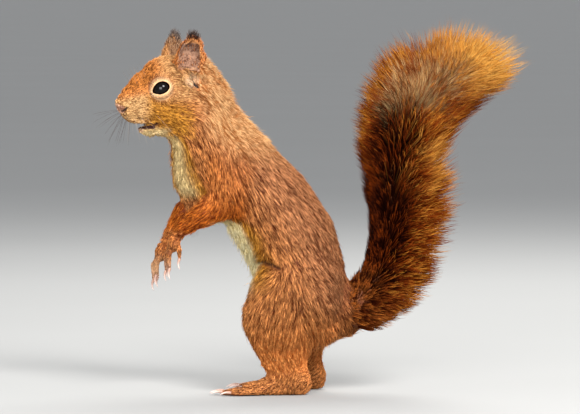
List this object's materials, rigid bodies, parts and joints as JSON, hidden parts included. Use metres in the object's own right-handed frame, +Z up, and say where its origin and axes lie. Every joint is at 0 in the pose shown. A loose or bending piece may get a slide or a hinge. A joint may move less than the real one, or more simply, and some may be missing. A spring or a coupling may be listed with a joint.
{
  "type": "red squirrel",
  "caption": "Still, life-size model of a red squirrel standing upright on its hind feet, forepaws hanging and bushy tail raised.",
  "frame": {"origin": "on the floor, under the middle of the model's length and width", "axes": "+Z up, the animal faces -X, its left side is towards -Y"},
  "size_m": [0.2364, 0.0684, 0.2117],
  "materials": {
    "coat": "matte",
    "brush": "matte",
    "eye": "gloss",
    "claw": "satin"
  },
  "bodies": {
    "root": {"head": "coat", "lower_jaw": "coat", "neck": "coat", "trunk": "coat", "tail_root": "brush", "tail_lower": "brush", "tail_middle": "brush", "tail_upper": "brush", "tail_tip": "brush", "thigh_left": "coat", "shank_left": "coat", "upper_arm_left": "coat", "forearm_left": "coat", "hand_left": "coat", "claw_left_hand_1": "claw", "claw_left_hand_2": "claw", "claw_left_hand_3": "claw", "claw_left_hand_4": "claw", "foot_left": "coat", "claw_left_foot_1": "claw", "claw_left_foot_2": "claw", "claw_left_foot_3": "claw", "claw_left_foot_4": "claw", "claw_left_foot_5": "claw", "eye_left": "eye", "ear_left": "coat", "thigh_right": "coat", "shank_right": "coat", "upper_arm_right": "coat", "forearm_right": "coat", "hand_right": "coat", "claw_right_hand_1": "claw", "claw_right_hand_2": "claw", "claw_right_hand_3": "claw", "claw_right_hand_4": "claw", "foot_right": "coat", "claw_right_foot_1": "claw", "claw_right_foot_2": "claw", "claw_right_foot_3": "claw", "claw_right_foot_4": "claw", "claw_right_foot_5": "claw", "eye_right": "eye", "ear_right": "coat"}
  },
  "joints": []
}
